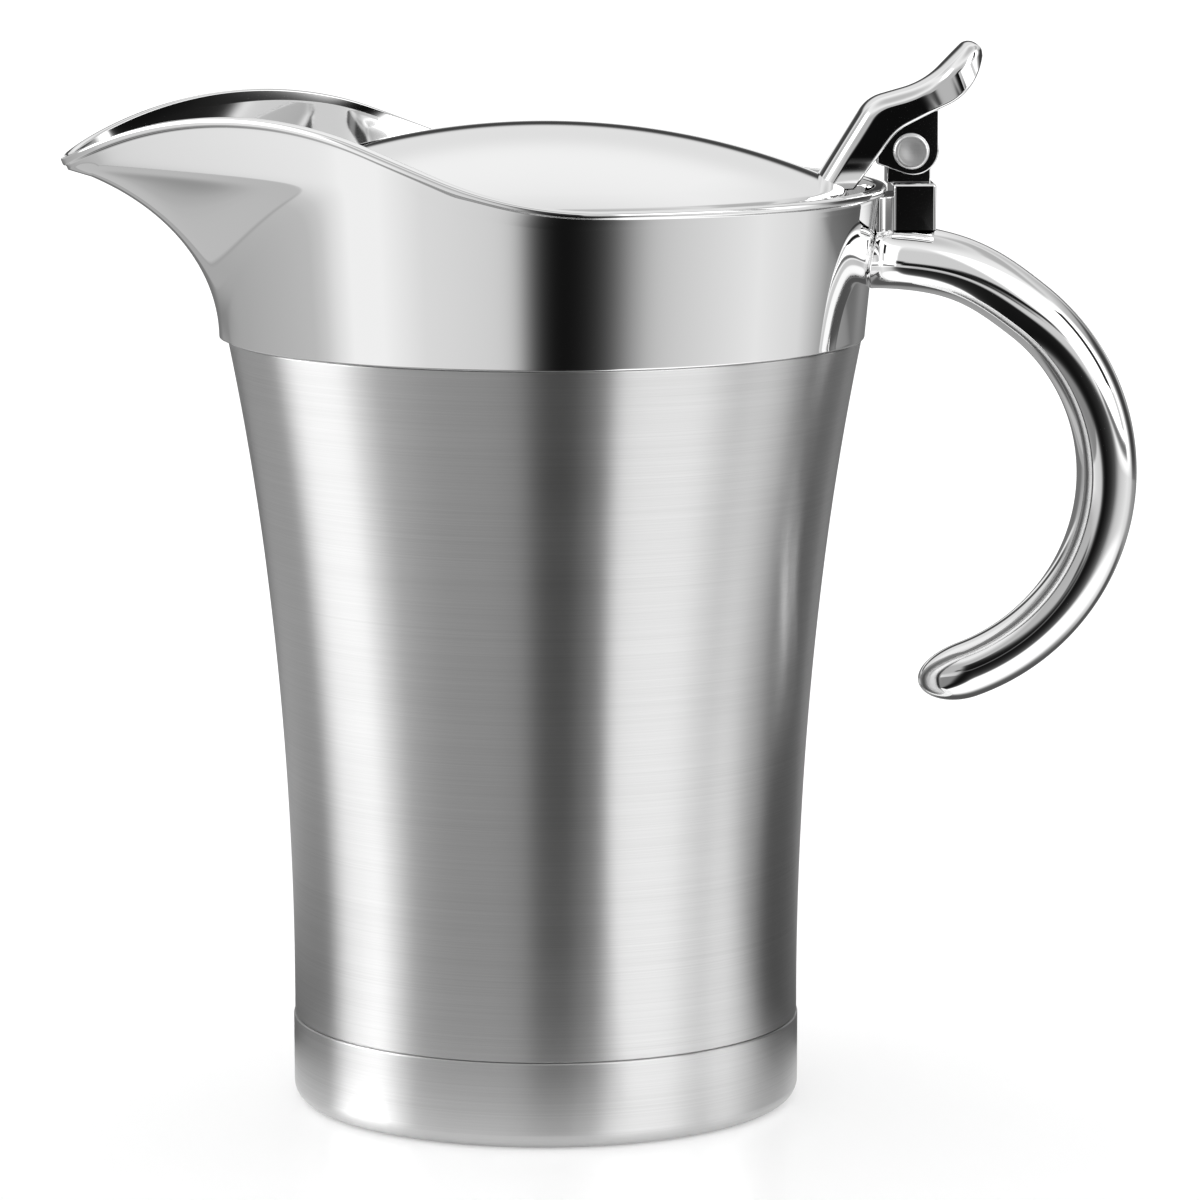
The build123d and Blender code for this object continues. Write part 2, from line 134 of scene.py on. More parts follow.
# %% Side line of the body: straight at the foot, then flaring to the shoulder
WAIST_R, WAIST_Z, SHOULDER_R, SHOULDER_Z = 42.1, 18.0, 52.4, 127.9
FLARE_R, FLARE_END = 610.0, 90.0


def body_line(inset, count=60):
    """Radius and height along the body, moved inwards by an inset.

    An arc of radius 610 leaves the waist upright and ends at height 90. A second, tighter arc
    keeps its tangent and ends at the shoulder.
    """
    turn = math.asin((FLARE_END - WAIST_Z) / FLARE_R)
    a = np.linspace(0, turn, count // 2)
    first = np.stack([WAIST_R + FLARE_R * (1 - np.cos(a)), WAIST_Z + FLARE_R * np.sin(a)], 1)
    start, tangent = first[-1], np.array([math.sin(turn), math.cos(turn)])
    chord = np.array([SHOULDER_R, SHOULDER_Z]) - start
    side = np.array([tangent[1], -tangent[0]])
    radius = (chord @ chord) / (2 * (chord @ side))
    centre = start + side * radius
    sweep = 2 * math.atan2(chord @ side, chord @ tangent)
    b = np.linspace(0, sweep, count // 2)[1:]
    second = centre - np.outer(np.cos(b), side) * radius + np.outer(np.sin(b), tangent) * radius
    line = np.vstack([first, second])
    step = np.gradient(line, axis=0)
    normal = np.stack([-step[:, 1], step[:, 0]], 1) / np.hypot(step[:, 0], step[:, 1])[:, None]
    return line + normal * inset


WALL = 0.8
outer, inner = body_line(0), body_line(WALL)
print("body line from radius", outer[0, 0].round(2), "to", outer[-1, 0].round(2))

# %% Body shell: out at the seam, up the side line, in to the neck and back down inside
CAP_TOP, SEAM_GAP, NECK_R, NECK_TOP = 14.4, 0.05, 51.95, 131.2
foot_in = WAIST_R - WALL
seam_edge = rounded([(foot_in, 15.2), (foot_in, CAP_TOP + SEAM_GAP), (WAIST_R, CAP_TOP + SEAM_GAP),
                     (WAIST_R, 17.9)], [0.1, 0.3], 5)
neck_edge = rounded([outer[-2], outer[-1], (NECK_R, 127.95), (NECK_R, NECK_TOP)], [0.25, 0.15], 5)
body = spun("body_shell", np.vstack([
    seam_edge, outer[:-1], neck_edge,
    [(NECK_R - WALL, NECK_TOP), (NECK_R - WALL, 127.4)], inner[:-1][::-1]]), closed=True)
print("body", len(body.data.vertices), "points")

# %% Base cap: a shallow cup with a rounded edge, whose underside is recessed inside a foot ring
CAP_R, RECESS_Z = 42.3, 1.6
cap = spun("base_cap_band", rounded(
    [(0, RECESS_Z), (32.5, RECESS_Z), (34.5, 0.0), (CAP_R, 0.0), (CAP_R, CAP_TOP),
     (CAP_R - WALL, CAP_TOP), (CAP_R - WALL, WALL), (34.0, WALL), (32.0, RECESS_Z + WALL),
     (0, RECESS_Z + WALL)],
    [0.8, 0.6, 2.8, 0.3, 0.1, 2.0, 0.6, 0.8], 9))
print("cap", len(cap.data.vertices), "points")

# %% [markdown]
# ## Collar and spout
# The collar and its pouring spout are one polished sheet. Seen from above, it is a circle and a
# smaller nose circle joined by their tangents. The nose moves out along a quarter ellipse with
# height, which makes the long curved underside. The rim is a line seen from the side, and a
# small lip runs round it. A sculpted mesh could follow this too, but the outline as a function
# of height gives every column the same place on each row, and so a smooth reflection.

# %% Outline of the collar at any height
COLUMNS = 420
COLLAR_R, COLLAR_FLARE, RIM_Z = 53.0, 2.4, 153.2
NOSE_FOOT, NOSE_RIM, REACH_FOOT, REACH_GROWS = 30.0, 20.0, 53.8, 41.5
TIP_RISE, ELLIPSE_RISE, TIP_LEAN = 28.5, 31.0, 0.25
BACK_END, SIDE_END, BLUR = 0.58, 0.8, 3.5


def back_radius(z):
    """Radius of the collar's round back: 53 at the foot, and 2.4 more at the rim's height."""
    return COLLAR_R + COLLAR_FLARE * (z - SHOULDER_Z) / 25.3


def collar_outline(z):
    """Points around the collar for each height in z, as an array [height, column, xy].

    The nose radius falls from 30 to 20, and the nose reaches out from 53.8 by
    41.5 * (1 - sqrt(1 - (rise / 31) ** 2)). Near 28.5 the rise levels off softly, as
    28.5 - 0.5 * log(1 + exp(...)), and the wall leans out by 0.25 instead. Shares of each arc
    and line are fixed, so a column keeps its place at every height. A Gaussian blur of 3.5
    columns around the ring softens the joins.
    """
    z = np.asarray(z, float)[:, None]
    rise = TIP_RISE - 0.5 * np.logaddexp(0, (SHOULDER_Z + TIP_RISE - z) / 0.5)
    back = back_radius(z)
    nose = NOSE_FOOT + (NOSE_RIM - NOSE_FOOT) * rise / TIP_RISE
    reach = (REACH_FOOT + REACH_GROWS * (1 - np.sqrt(1 - (rise / ELLIPSE_RISE) ** 2))
             + TIP_LEAN * (z - SHOULDER_Z - rise))
    nose_x = reach - nose
    lean = np.arcsin((back - nose) / nose_x)
    u = (np.arange(COLUMNS // 2) + 0.5) / (COLUMNS // 2)
    a = np.clip(u / BACK_END, 0, 1)
    b = np.clip((u - BACK_END) / (SIDE_END - BACK_END), 0, 1)
    c = np.clip((u - SIDE_END) / (1 - SIDE_END), 0, 1)
    arc = a * (math.pi / 2 + lean)
    on_back = np.stack([back * np.cos(arc), back * np.sin(arc)], -1)
    tip = math.pi / 2 + lean + c * (math.pi / 2 - lean)
    on_nose = np.stack([nose * np.cos(tip) - nose_x, nose * np.sin(tip)], -1)
    start = np.stack([-back * np.sin(lean), back * np.cos(lean)], -1)
    end = np.stack([-nose_x - nose * np.sin(lean), nose * np.cos(lean)], -1)
    on_line = start + (end - start) * b[None, :, None]
    half = np.where((u < BACK_END)[None, :, None], on_back,
                    np.where((u < SIDE_END)[None, :, None], on_line, on_nose))
    ring = np.concatenate([half, half[:, ::-1] * (1, -1)], 1)
    wave = np.fft.fftfreq(COLUMNS)[None, :, None]
    blur = np.exp(-2 * (math.pi * BLUR * wave) ** 2)
    return np.fft.ifft(np.fft.fft(ring, axis=1) * blur, axis=1).real


table_z = np.linspace(127.95, 168.0, 300)
table = collar_outline(table_z)
print("spout reaches", round(-table[:, :, 0].min(), 1), "mm")

# %% Rim line, and the height at which each column of the collar meets it
def rim_height(x):
    """Height of the rim seen from the side: flat, a hollow arc, a slope and a round crest."""
    flat_end, hollow_r, straight_run, crest_r = 8.0, 70.0, 11.9, 55.0
    slope = math.radians(21.8)
    x1 = flat_end - hollow_r * math.sin(slope)
    z1 = RIM_Z + hollow_r * (1 - math.cos(slope))
    x2, z2 = x1 - straight_run * math.cos(slope), z1 + straight_run * math.sin(slope)
    hollow = RIM_Z + hollow_r - np.sqrt(np.maximum(hollow_r ** 2 - (x - flat_end) ** 2, 0))
    crest_x, crest_z = x2 - crest_r * math.sin(slope), z2 - crest_r * math.cos(slope)
    crest = crest_z + np.sqrt(np.maximum(crest_r ** 2 - (x - crest_x) ** 2, 0))
    straight = z1 + (x1 - x) * math.tan(slope)
    return np.where(x > flat_end, RIM_Z,
                    np.where(x > x1, hollow, np.where(x > x2, straight, crest)))


over = table_z[:, None] - rim_height(table[:, :, 0])
first = np.argmax(over > 0, 0)
cols = np.arange(COLUMNS)
share = -over[first - 1, cols] / (over[first, cols] - over[first - 1, cols])
rim_z = table_z[first - 1] + share * (table_z[1] - table_z[0])
print("rim from", rim_z.min().round(1), "to", rim_z.max().round(1))


# %% Collar wall with the way out and the way up at each of its points
def on_collar(z):
    """Points of the collar's outside at heights z[row, column], read from the table."""
    place = (z - table_z[0]) / (table_z[1] - table_z[0])
    low = np.clip(place.astype(int), 0, len(table_z) - 2)
    part = (place - low)[..., None]
    xy = table[low, cols[None, :]] * (1 - part) + table[low + 1, cols[None, :]] * part
    return np.concatenate([xy, z[..., None]], -1)


WALL_FOOT = 128.3
rows = np.linspace(0, 1, 110)[:, None] ** 0.9
wall = on_collar(WALL_FOOT + (rim_z[None, :] - WALL_FOOT) * rows)
up = np.gradient(wall, axis=0)
around = np.roll(wall, -1, 1) - np.roll(wall, 1, 1)
normal = np.cross(around, up)
normal /= np.linalg.norm(normal, axis=2, keepdims=True)
up /= np.linalg.norm(up, axis=2, keepdims=True)
print("collar wall", wall.shape[0], "rows of", wall.shape[1])

# %% Rim lip: a rounded bead that stands out less at the spout's nose
LIP_DEPTH = 2.6
height = np.linalg.norm(wall - wall[-1], axis=2)
keep = int(np.argmax(height.min(1) < LIP_DEPTH))
lip = rounded([(0, -2.2), (0.0, -1.45), (1.1, -1.25), (1.1, 0.0), (-1.0, 0.0), (-1.0, -2.2)],
              [0.35, 0.4, 0.45, 0.45], 6)
nose_share = np.clip((wall[-1, :, 0] + 80) / 25, 0, 1) ** 0.5
lip_out = np.where(lip[:, :1] > 0, lip[:, :1] * (0.25 + 0.75 * nose_share), lip[:, :1])
lip_rows = wall[-1] + normal[-1] * lip_out[..., None] + up[-1] * lip[:, 1:, None]
print("lip stands out", lip_out.min(1).max().round(2), "to", lip_out.max().round(2))

# %% Rounded foot, wall, lip, inner wall and hem joined as one closed grid
COLLAR_WALL, FOOT_ROUND, HEM_R, HEM_LOW, HEM_TOP = 1.0, 0.35, 51.98, 127.95, 128.95
inside = (wall - normal * COLLAR_WALL)[4:keep][::-1]
azimuth = np.arctan2(wall[0, :, 1], wall[0, :, 0])
neck = np.stack([HEM_R * np.cos(azimuth), HEM_R * np.sin(azimuth)], -1)
hem_top = np.concatenate([neck, np.full((COLUMNS, 1), HEM_TOP)], 1)
hem_low = np.concatenate([neck, np.full((COLUMNS, 1), HEM_LOW)], 1)
turn = np.radians(np.linspace(0, 84, 6))[:, None, None]
edge = (wall[0] - normal[0] * FOOT_ROUND * (1 - np.sin(turn))
        - (0, 0, FOOT_ROUND) * np.cos(turn))
collar = grid_object("collar_wall", np.concatenate(
    [edge, wall[:keep], lip_rows, inside, hem_top[None], hem_low[None]]), loop=True)
print("collar rows", keep, len(lip), "size", [round(v * 1000, 1) for v in collar.dimensions])

# %% [markdown]
# ## Inner liner
# The cup that holds the sauce is drawn deep, and its mouth rolls out into a deck that closes the
# space between the two walls. Below the mouth its rings are round. The deck's last rings follow
# the collar's inside, so each ring may give one radius or a radius for every column.

# %% Profiles of the liner's two sides, from the middle of its floor to the deck
SPACE, FLOOR_Z, BEND_TOP, ROLL, DECK_R = 5.0, 7.5, 18.0, 2.5, 48.5
inset = WALL + SPACE
cup_out, cup_in = body_line(inset), body_line(inset + WALL)
floor_r, deck_z = WAIST_R - inset, NECK_TOP + 0.05
under_side = np.vstack([
    rounded([(0, FLOOR_Z), (floor_r, FLOOR_Z), (floor_r, BEND_TOP)], [9.0], 14)[:-1],
    cup_out[:-1],
    rounded([cup_out[-1] - (0, 1.0), (cup_out[-1][0], deck_z), (DECK_R, deck_z)],
            [ROLL], 8)[1:]])
upper_side = np.vstack([
    rounded([(DECK_R, deck_z + WALL), (cup_in[-1][0], deck_z + WALL), cup_in[-1] - (0, 1.0)],
            [ROLL + WALL], 8)[:-1],
    cup_in[:-1][::-1],
    rounded([(floor_r - WALL, BEND_TOP), (floor_r - WALL, 8.3), (0, 8.3)], [8.2], 14)[1:]])
print("liner mouth radius", cup_in[-1][0].round(2), "floor radius", round(floor_r - WALL, 2))

# %% Liner: round rings up the cup, and four rings at the deck's edge that follow the collar
deck = on_collar(np.full((1, COLUMNS), deck_z))[0]
azimuth = np.arctan2(deck[:, 1], deck[:, 0])
reach = np.hypot(deck[:, 0], deck[:, 1]) - 1.15
ways = np.stack([np.cos(azimuth), np.sin(azimuth)], -1)


def liner_row(radius, z):
    """One ring of the liner: the columns' directions times a radius, or a radius per column."""
    return np.concatenate([ways * np.reshape(radius, (-1, 1)), np.full((COLUMNS, 1), z)], 1)


liner_rows = [liner_row(r, z) for r, z in under_side[1:]]
liner_rows += [liner_row(reach - 0.1, deck_z), liner_row(reach, deck_z + 0.1),
               liner_row(reach, deck_z + WALL - 0.1), liner_row(reach - 0.1, deck_z + WALL)]
liner_rows += [liner_row(r, z) for r, z in upper_side[:-1]]
liner = grid_object("liner_cup", np.array(liner_rows), ((0, 0, FLOOR_Z), (0, 0, 8.3)))
print("liner", len(liner_rows), "rings")

# %% [markdown]
# ## Lid
# The lid is a shallow pressed dome with its edge turned down, closed below by a pan pressed into
# the skirt. Both are turned shapes again. The dome is part of a sphere of radius 123, because a
# true sphere gives the even, lens-like reflection of the real lid.

# %% Lid dome: an arc from the pole, a rounded edge and a short skirt
LID_R, LID_TOP, DOME_R, EDGE_ROUND = 50.0, 163.3, 123.0, 2.2
EDGE_Z = LID_TOP - DOME_R + math.sqrt(DOME_R ** 2 - LID_R ** 2)
SKIRT_Z = EDGE_Z - 2.4


def dome_line(radius, side, top):
    """Profile of the dome: height = top - radius + sqrt(radius ** 2 - r ** 2), then the skirt."""
    r = np.linspace(0, side - 5, 48)
    arc = np.stack([r, top - radius + np.sqrt(radius ** 2 - r ** 2)], 1)
    edge = (side, top - radius + math.sqrt(radius ** 2 - side ** 2))
    return np.vstack([arc, rounded([arc[-1], edge, (side, SKIRT_Z)], [EDGE_ROUND], 12)[1:]])


dome_out = dome_line(DOME_R, LID_R, LID_TOP)
dome_in = dome_line(DOME_R - WALL, LID_R - WALL, LID_TOP - WALL)
dome = spun("lid_shell", np.vstack([dome_in, dome_out[::-1]])[::-1])
print("dome edge at", round(EDGE_Z, 2), "and skirt to", round(SKIRT_Z, 2))

# %% Lid pan: a flat floor, a short wall and a flange that sits inside the skirt
pan_r, pan_z, flange_r = LID_R - 3.0, SKIRT_Z - 4.2, LID_R - WALL - 0.05
pan = spun("lid_pan", rounded(
    [(0, pan_z), (pan_r, pan_z), (pan_r, SKIRT_Z), (flange_r, SKIRT_Z), (flange_r, SKIRT_Z + 1.2),
     (flange_r - WALL, SKIRT_Z + 1.2), (flange_r - WALL, SKIRT_Z + WALL),
     (pan_r - WALL, SKIRT_Z + WALL), (pan_r - WALL, pan_z + WALL), (0, pan_z + WALL)],
    [2.0, 0.3, 0.4, 0.1, 0.1, 0.2, 0.8, 1.3], 8))
print("pan floor at", round(pan_z, 2))

# %% [markdown]
# ## Handle
# An open hook cast in one piece. A bevelled curve could draw it, but the section changes on the
# way: it is a soft rectangle that flares at the root and closes at a rounded tip. So sections
# follow a centre line made of a curve out of the collar and a long arc.

# %% Handle: centre line as a curve into a long arc, and the way ahead along it
HOOK_C, HOOK_R, JOIN, TIP = np.array([58.7, 104.45]), 34.85, 52.0, -84.0
ROOT_POINT, ROOT_PULL, JOIN_PULL = (49.0, 141.3), (67.0, 141.3), 11.0
turn = math.radians(JOIN)
join = HOOK_C + HOOK_R * np.array([math.cos(turn), math.sin(turn)])
join_way = np.array([-math.sin(turn), math.cos(turn)])
pulls = np.array([ROOT_POINT, ROOT_PULL, join + JOIN_PULL * join_way, join])
u = np.linspace(0, 1, 160)[:, None]
bend = ((1 - u) ** 3 * pulls[0] + 3 * u * (1 - u) ** 2 * pulls[1] + 3 * u ** 2 * (1 - u) * pulls[2]
        + u ** 3 * pulls[3])
sweep = np.radians(np.linspace(JOIN, TIP, 400)[1:, None])
hook = np.vstack([bend, HOOK_C + HOOK_R * np.hstack([np.cos(sweep), np.sin(sweep)])])
along = np.concatenate([[0], np.cumsum(np.hypot(*np.diff(hook, axis=0).T))])
HOOK_LENGTH = along[-1]
ahead = np.gradient(hook, axis=0)
ahead /= np.hypot(ahead[:, 0], ahead[:, 1])[:, None]
print("hook length", round(HOOK_LENGTH, 1))

# %% Handle: its surface at any distance along the hook
HANDLE_COLUMNS, SQUARENESS, TIP_ROUND = 96, 2.6, 8.5
ROOT_HALF_W, ROOT_HALF_H, LOSES_W, LOSES_H = 8.0, 5.39, 2.2, 0.9
FLARE_OUT, FLARE_RUN, UPPER_NARROWS = 13.9, 3.8, 0.15


def hook_at(s):
    """Points of the handle's surface at distances s[row, column] along the hook.

    Each section is |y / half width| ** 2.6 + |h / half height| ** 2.6 = 1. The half width gains
    13.9 * exp(-(s / 3.8) ** 2) at the root, and both shrink along a quarter ellipse in the last
    8.5 mm. Near the root the section narrows upwards by 0.15, which turns its sides up a little.
    """
    angle = np.linspace(0, 2 * math.pi, HANDLE_COLUMNS, endpoint=False)[None, :]
    centre = [np.interp(s, along, hook[:, k]) for k in (0, 1)]
    way = [np.interp(s, along, ahead[:, k]) for k in (0, 1)]
    tip = np.clip((s - HOOK_LENGTH + TIP_ROUND) / TIP_ROUND, 0, 1)
    shrink = np.sqrt(np.maximum(1 - tip ** 2, 0))
    share = s / HOOK_LENGTH
    flare = FLARE_OUT * np.exp(-(s / FLARE_RUN) ** 2)
    half_w = (ROOT_HALF_W - LOSES_W * share) * shrink + flare
    half_h = (ROOT_HALF_H - LOSES_H * share) * shrink
    y = half_w * np.sign(np.cos(angle)) * np.abs(np.cos(angle)) ** (2 / SQUARENESS)
    h = half_h * np.sign(np.sin(angle)) * np.abs(np.sin(angle)) ** (2 / SQUARENESS)
    y *= 1 - UPPER_NARROWS * np.exp(-(s / 34.0) ** 4) * (h / half_h.clip(0.1) + 1) / 2
    return np.stack([centre[0] - way[1] * h, y, centre[1] + way[0] * h], -1)


probe = np.linspace(0, 14, 400)[:, None] * np.ones((1, HANDLE_COLUMNS))
shape = hook_at(probe)
outside = np.hypot(shape[..., 0], shape[..., 1]) > back_radius(shape[..., 2]) + 0.02
root = probe[np.argmax(outside, 0), np.arange(HANDLE_COLUMNS)]
print("each column leaves the collar between", root.min().round(1), "and", root.max().round(1))

# %% Handle: rows from the collar's surface to the tip, closer together at both ends
tip_at = HOOK_LENGTH - TIP_ROUND
stations = np.concatenate([np.linspace(0, 16, 56), np.linspace(17, tip_at, 120),
                           tip_at + TIP_ROUND * np.sin(np.radians(np.linspace(4, 88, 26)))])
s = root[None, :] + stations[:, None] * (HOOK_LENGTH - root[None, :]) / HOOK_LENGTH
handle = grid_object("handle_hook", hook_at(s)[:, ::-1],
                     ((53.9, 0, 141.2), (hook[-1][0], 0, hook[-1][1])))
print("handle", len(stations), "rows")

# %% [markdown]
# ## Hinge post
# The post stands on the handle's root. A block carries a round-ended tongue, and a low web with
# hollow flanks joins the block to the collar. All three are flat-sided pieces, made as slabs: an
# outline drawn out straight, with softened edges. A Bevel modifier could soften them, but here
# the rounding is part of the grid, so its width stays exact.

# %% Slabs with softened edges
def slab(name, outline, low, high, soft, upright=False):
    """An outline (a, b) drawn out from low to high along Y, or along Z when upright.

    At depth soft * (1 - cos) from either face the outline is drawn in by soft * (1 - sin) of
    the same angle, which rounds the edge by a quarter circle.
    """
    step = np.roll(outline, -1, 0) - np.roll(outline, 1, 0)
    after = np.roll(outline, -1, 0)
    area = np.sum(outline[:, 0] * after[:, 1] - after[:, 0] * outline[:, 1])
    inward = np.stack([-step[:, 1], step[:, 0]], 1) / np.hypot(*step.T)[:, None] * np.sign(area)
    a = np.radians(np.linspace(0, 90, 6))
    depth = np.concatenate([low + soft * (1 - np.cos(a)), high - soft * (1 - np.cos(a))[::-1]])
    inset = np.concatenate([soft * (1 - np.sin(a)), soft * (1 - np.sin(a))[::-1]])
    flat = outline[None] + inward[None] * inset[:, None, None]
    far = np.broadcast_to(depth[:, None], flat.shape[:2])
    if upright:
        return grid_object(name, np.stack([flat[..., 0], flat[..., 1], far], -1))
    return grid_object(name, np.stack([flat[..., 0], far, flat[..., 1]], -1)[:, ::-1])


PIVOT_X, PIVOT_Z = 60.0, 158.8
POST_FOOT, POST_BACK, POST_FRONT, POST_TOP, POST_HALF = 145.35, 57.1, 64.2, 153.5, 6.4
block_line = rounded(
    [(PIVOT_X, POST_FOOT), (POST_FRONT, POST_FOOT), (POST_FRONT, POST_TOP),
     (POST_BACK, POST_TOP), (POST_BACK, POST_FOOT), (PIVOT_X, POST_FOOT)],
    [0.05, 0.5, 0.5, 0.05])[:-1]
block = slab("hinge_block", block_line, -POST_HALF, POST_HALF, 0.5)
print("post", [round(v * 1000, 1) for v in block.dimensions], "mm")

# %% Web: seen from above, one side hugs the collar and two hollow flanks run to the block
WEB_TOP, HUG_R = 151.4, 54.75
across = np.linspace(-1, 1, 24)
web_run = np.linspace(0, 1, 14)
web_x = 54.9 + 2.6 * web_run
web_y = 5.5 + 1.4 * (1 - web_run) ** 2.2
hug = np.stack([np.sqrt(HUG_R ** 2 - (web_y[0] * across) ** 2), web_y[0] * across], 1)
flank = np.stack([web_x, web_y], 1)[1:]
web = slab("hinge_web", np.vstack([hug, flank, (flank * (1, -1))[::-1]]), POST_FOOT, WEB_TOP, 0.3,
           upright=True)
print("web", [round(v * 1000, 1) for v in web.dimensions], "mm")

# %% Tongue: a round end about the pin, and a sloped flat that stops the lever's arm
TONGUE_R, TONGUE_HALF, FLAT_SLOPE, FLAT_RUN = 3.5, 3.0, math.radians(54.0), 3.4
flat_way = np.array([math.cos(FLAT_SLOPE), math.sin(FLAT_SLOPE)])
flat_top = np.array([PIVOT_X - TONGUE_R * flat_way[1], PIVOT_Z + TONGUE_R * flat_way[0]])
flat_low = flat_top - FLAT_RUN * flat_way
round_end = np.linspace(0, math.pi / 2 + FLAT_SLOPE, 24)
tongue_end = np.stack([PIVOT_X + TONGUE_R * np.cos(round_end),
                       PIVOT_Z + TONGUE_R * np.sin(round_end)], 1)
tongue = slab("hinge_tongue", np.vstack([
    [(56.3, 153.3), (63.5, 153.3)], tongue_end, [flat_low, flat_low + (1.13, -1.6)]]),
    -TONGUE_HALF, TONGUE_HALF, 0.3)
print("tongue", [round(v * 1000, 1) for v in tongue.dimensions], "mm")

# %% [markdown]
# ## Thumb lever
# An S-shaped arm with a foot on the lid, a pad for the thumb and two ears round the tongue. Its
# top and under side are two lines seen from the side. Each is walked like a path on paper, a
# straight run and then a bend, and the arm's sections stand between the two lines.

# %% Thumb lever: top line and under line walked as straight pieces and arcs
def walked(start, heading, moves):
    """Points along a path that starts at a heading in degrees.

    Each move is (length, turn): the heading changes evenly by the turn over the length, and the
    points add up the steps, so a move without a turn is straight and any other is an arc.
    """
    point, path = np.array(start, float), []
    for length, bend_by in moves:
        a = np.radians(heading + bend_by * np.linspace(0, 1, 40))
        steps = np.stack([np.cos(a), np.sin(a)], 1) * length / 39
        piece = point + np.vstack([[0, 0], np.cumsum((steps[1:] + steps[:-1]) / 2, 0)])
        path.append(piece[:-1])
        point, heading = piece[-1], heading + bend_by
    path = np.vstack(path + [[point]])
    done = np.concatenate([[0], np.cumsum(np.hypot(*np.diff(path, axis=0).T))])
    return path, done


top_line, top_s = walked((43.8, 152.2), 58.0, [(15.1, 0), (4.76, -42), (3.8, 0), (7.09, 29),
                                               (4.95, 0), (3.2, -100)])
low_line, low_s = walked((50.7, 152.6), 54.0, [(9.8, 0), (4.24, -27), (7.0, 0), (10.2, 53)])
print("lever lines", round(top_s[-1], 1), "and", round(low_s[-1], 1), "mm long")

# %% Thumb lever: pairs of points on the two lines, matched where the arm bends
t = np.concatenate([np.linspace(0, 0.9, 110),
                    0.9 + 0.098 * np.sin(np.radians(np.linspace(3, 90, 24)))])
keys = [0, 0.38, 0.56, 0.76, 0.9, 1.0]
top_at = np.interp(t, keys, [0, 17.5, 23.7, 30.8, 35.9, top_s[-1]])
low_at = np.interp(t, keys, [0, 11.9, 16.8, 22.5, 28.5, low_s[-1]])
top = np.stack([np.interp(top_at, top_s, top_line[:, k]) for k in (0, 1)], 1)
low = np.stack([np.interp(low_at, low_s, low_line[:, k]) for k in (0, 1)], 1)
tall = np.hypot(*(top - low).T)
print("arm height from", tall.min().round(2), "to", tall.max().round(2))

# %% Thumb lever: a crowned section with rounded edges at each pair of points
ARM_HALF, PAD_FROM, PAD_RUN, CROWN = 6.5, 62.5, 6.2, 0.5


def lever_half(x):
    """Half the lever's width at x: 7.9 at the foot, 6.5 along the arm, 8 at the pad, then round."""
    foot = 1.4 * np.clip((49.5 - x) / 6.0, 0, 1) ** 2
    pad_share = np.clip((x - PAD_FROM) / PAD_RUN, 0, 1)
    pad = 1.5 * pad_share ** 2 * (3 - 2 * pad_share)
    end = np.sqrt(1 - np.clip((x - 67.6) / 4.9, 0, 0.999) ** 2.4)
    return (ARM_HALF + foot + pad) * end


def lever_section(up_point, low_point, height):
    """One closed section of the lever between a point of its top line and one of its under line.

    Half of it is a rounded path (across, up), 12 points to each flat run. The top sinks by
    0.5 * (across / half width) ** 2 towards its sides, less so where the arm is thin, and the
    half is mirrored and laid along the line from the lower point to the upper one.
    """
    w_top, w_low = lever_half(up_point[0]), lever_half(low_point[0])
    upper_round, lower_round = min(2.3, 0.42 * height), min(0.5, 0.2 * height)
    edge = rounded([(0, height), (w_top, height), (w_low, 0), (0, 0)],
                   [upper_round, lower_round], 9)
    run = np.linspace(0, 1, 12, endpoint=False)[:, None]
    top_run = run * (edge[1] - edge[0]) + edge[0]
    low_run = run * (edge[-1] - edge[-2]) + edge[-2]
    half = np.vstack([top_run, edge[1:-2], low_run, edge[-1:]])
    crown = CROWN * (half[:, 0] / w_top) ** 2 * np.clip(half[:, 1] / height, 0, 1) ** 4
    half[:, 1] -= crown * min(1, height / 4)
    ring = np.vstack([half, (half * (-1, 1))[-2:0:-1]])
    way = (up_point - low_point) / height
    return np.stack([low_point[0] + way[0] * ring[:, 1], ring[:, 0],
                     low_point[1] + way[1] * ring[:, 1]], 1)


lever = grid_object("lever_arm", np.array([lever_section(*row) for row in zip(top, low, tall)]))
print("lever", [round(v * 1000, 1) for v in lever.dimensions], "mm")

# %% Two ears: a round end about the pin that widens upwards, one on each side of the tongue
EAR_IN, EAR_OUT = 3.2, 6.0
ear_line = rounded([(PIVOT_X, 165.6), (64.6, 165.6), (64.6, 153.2), (54.4, 156.72), (54.45, 160.7),
                    (PIVOT_X, 165.6)], [0.3, 4.2, 0.3, 0.1], 20)[:-1]
ears = [slab("lever_ear_" + side, ear_line, *sorted((k * EAR_IN, k * EAR_OUT)), 0.25)
        for side, k in (("near", -1), ("far", 1))]
print("ears", [ear.name for ear in ears])

# %% [markdown]
# ## Rivet
# The pin is a rivet: a plain shaft that runs through ears and tongue, with a flat head pressed
# onto each end. Pressing leaves a faint hollow and a rounded edge, which catch the light as a
# small ring. It is a turned shape, like the body, but about the hinge's own axis.

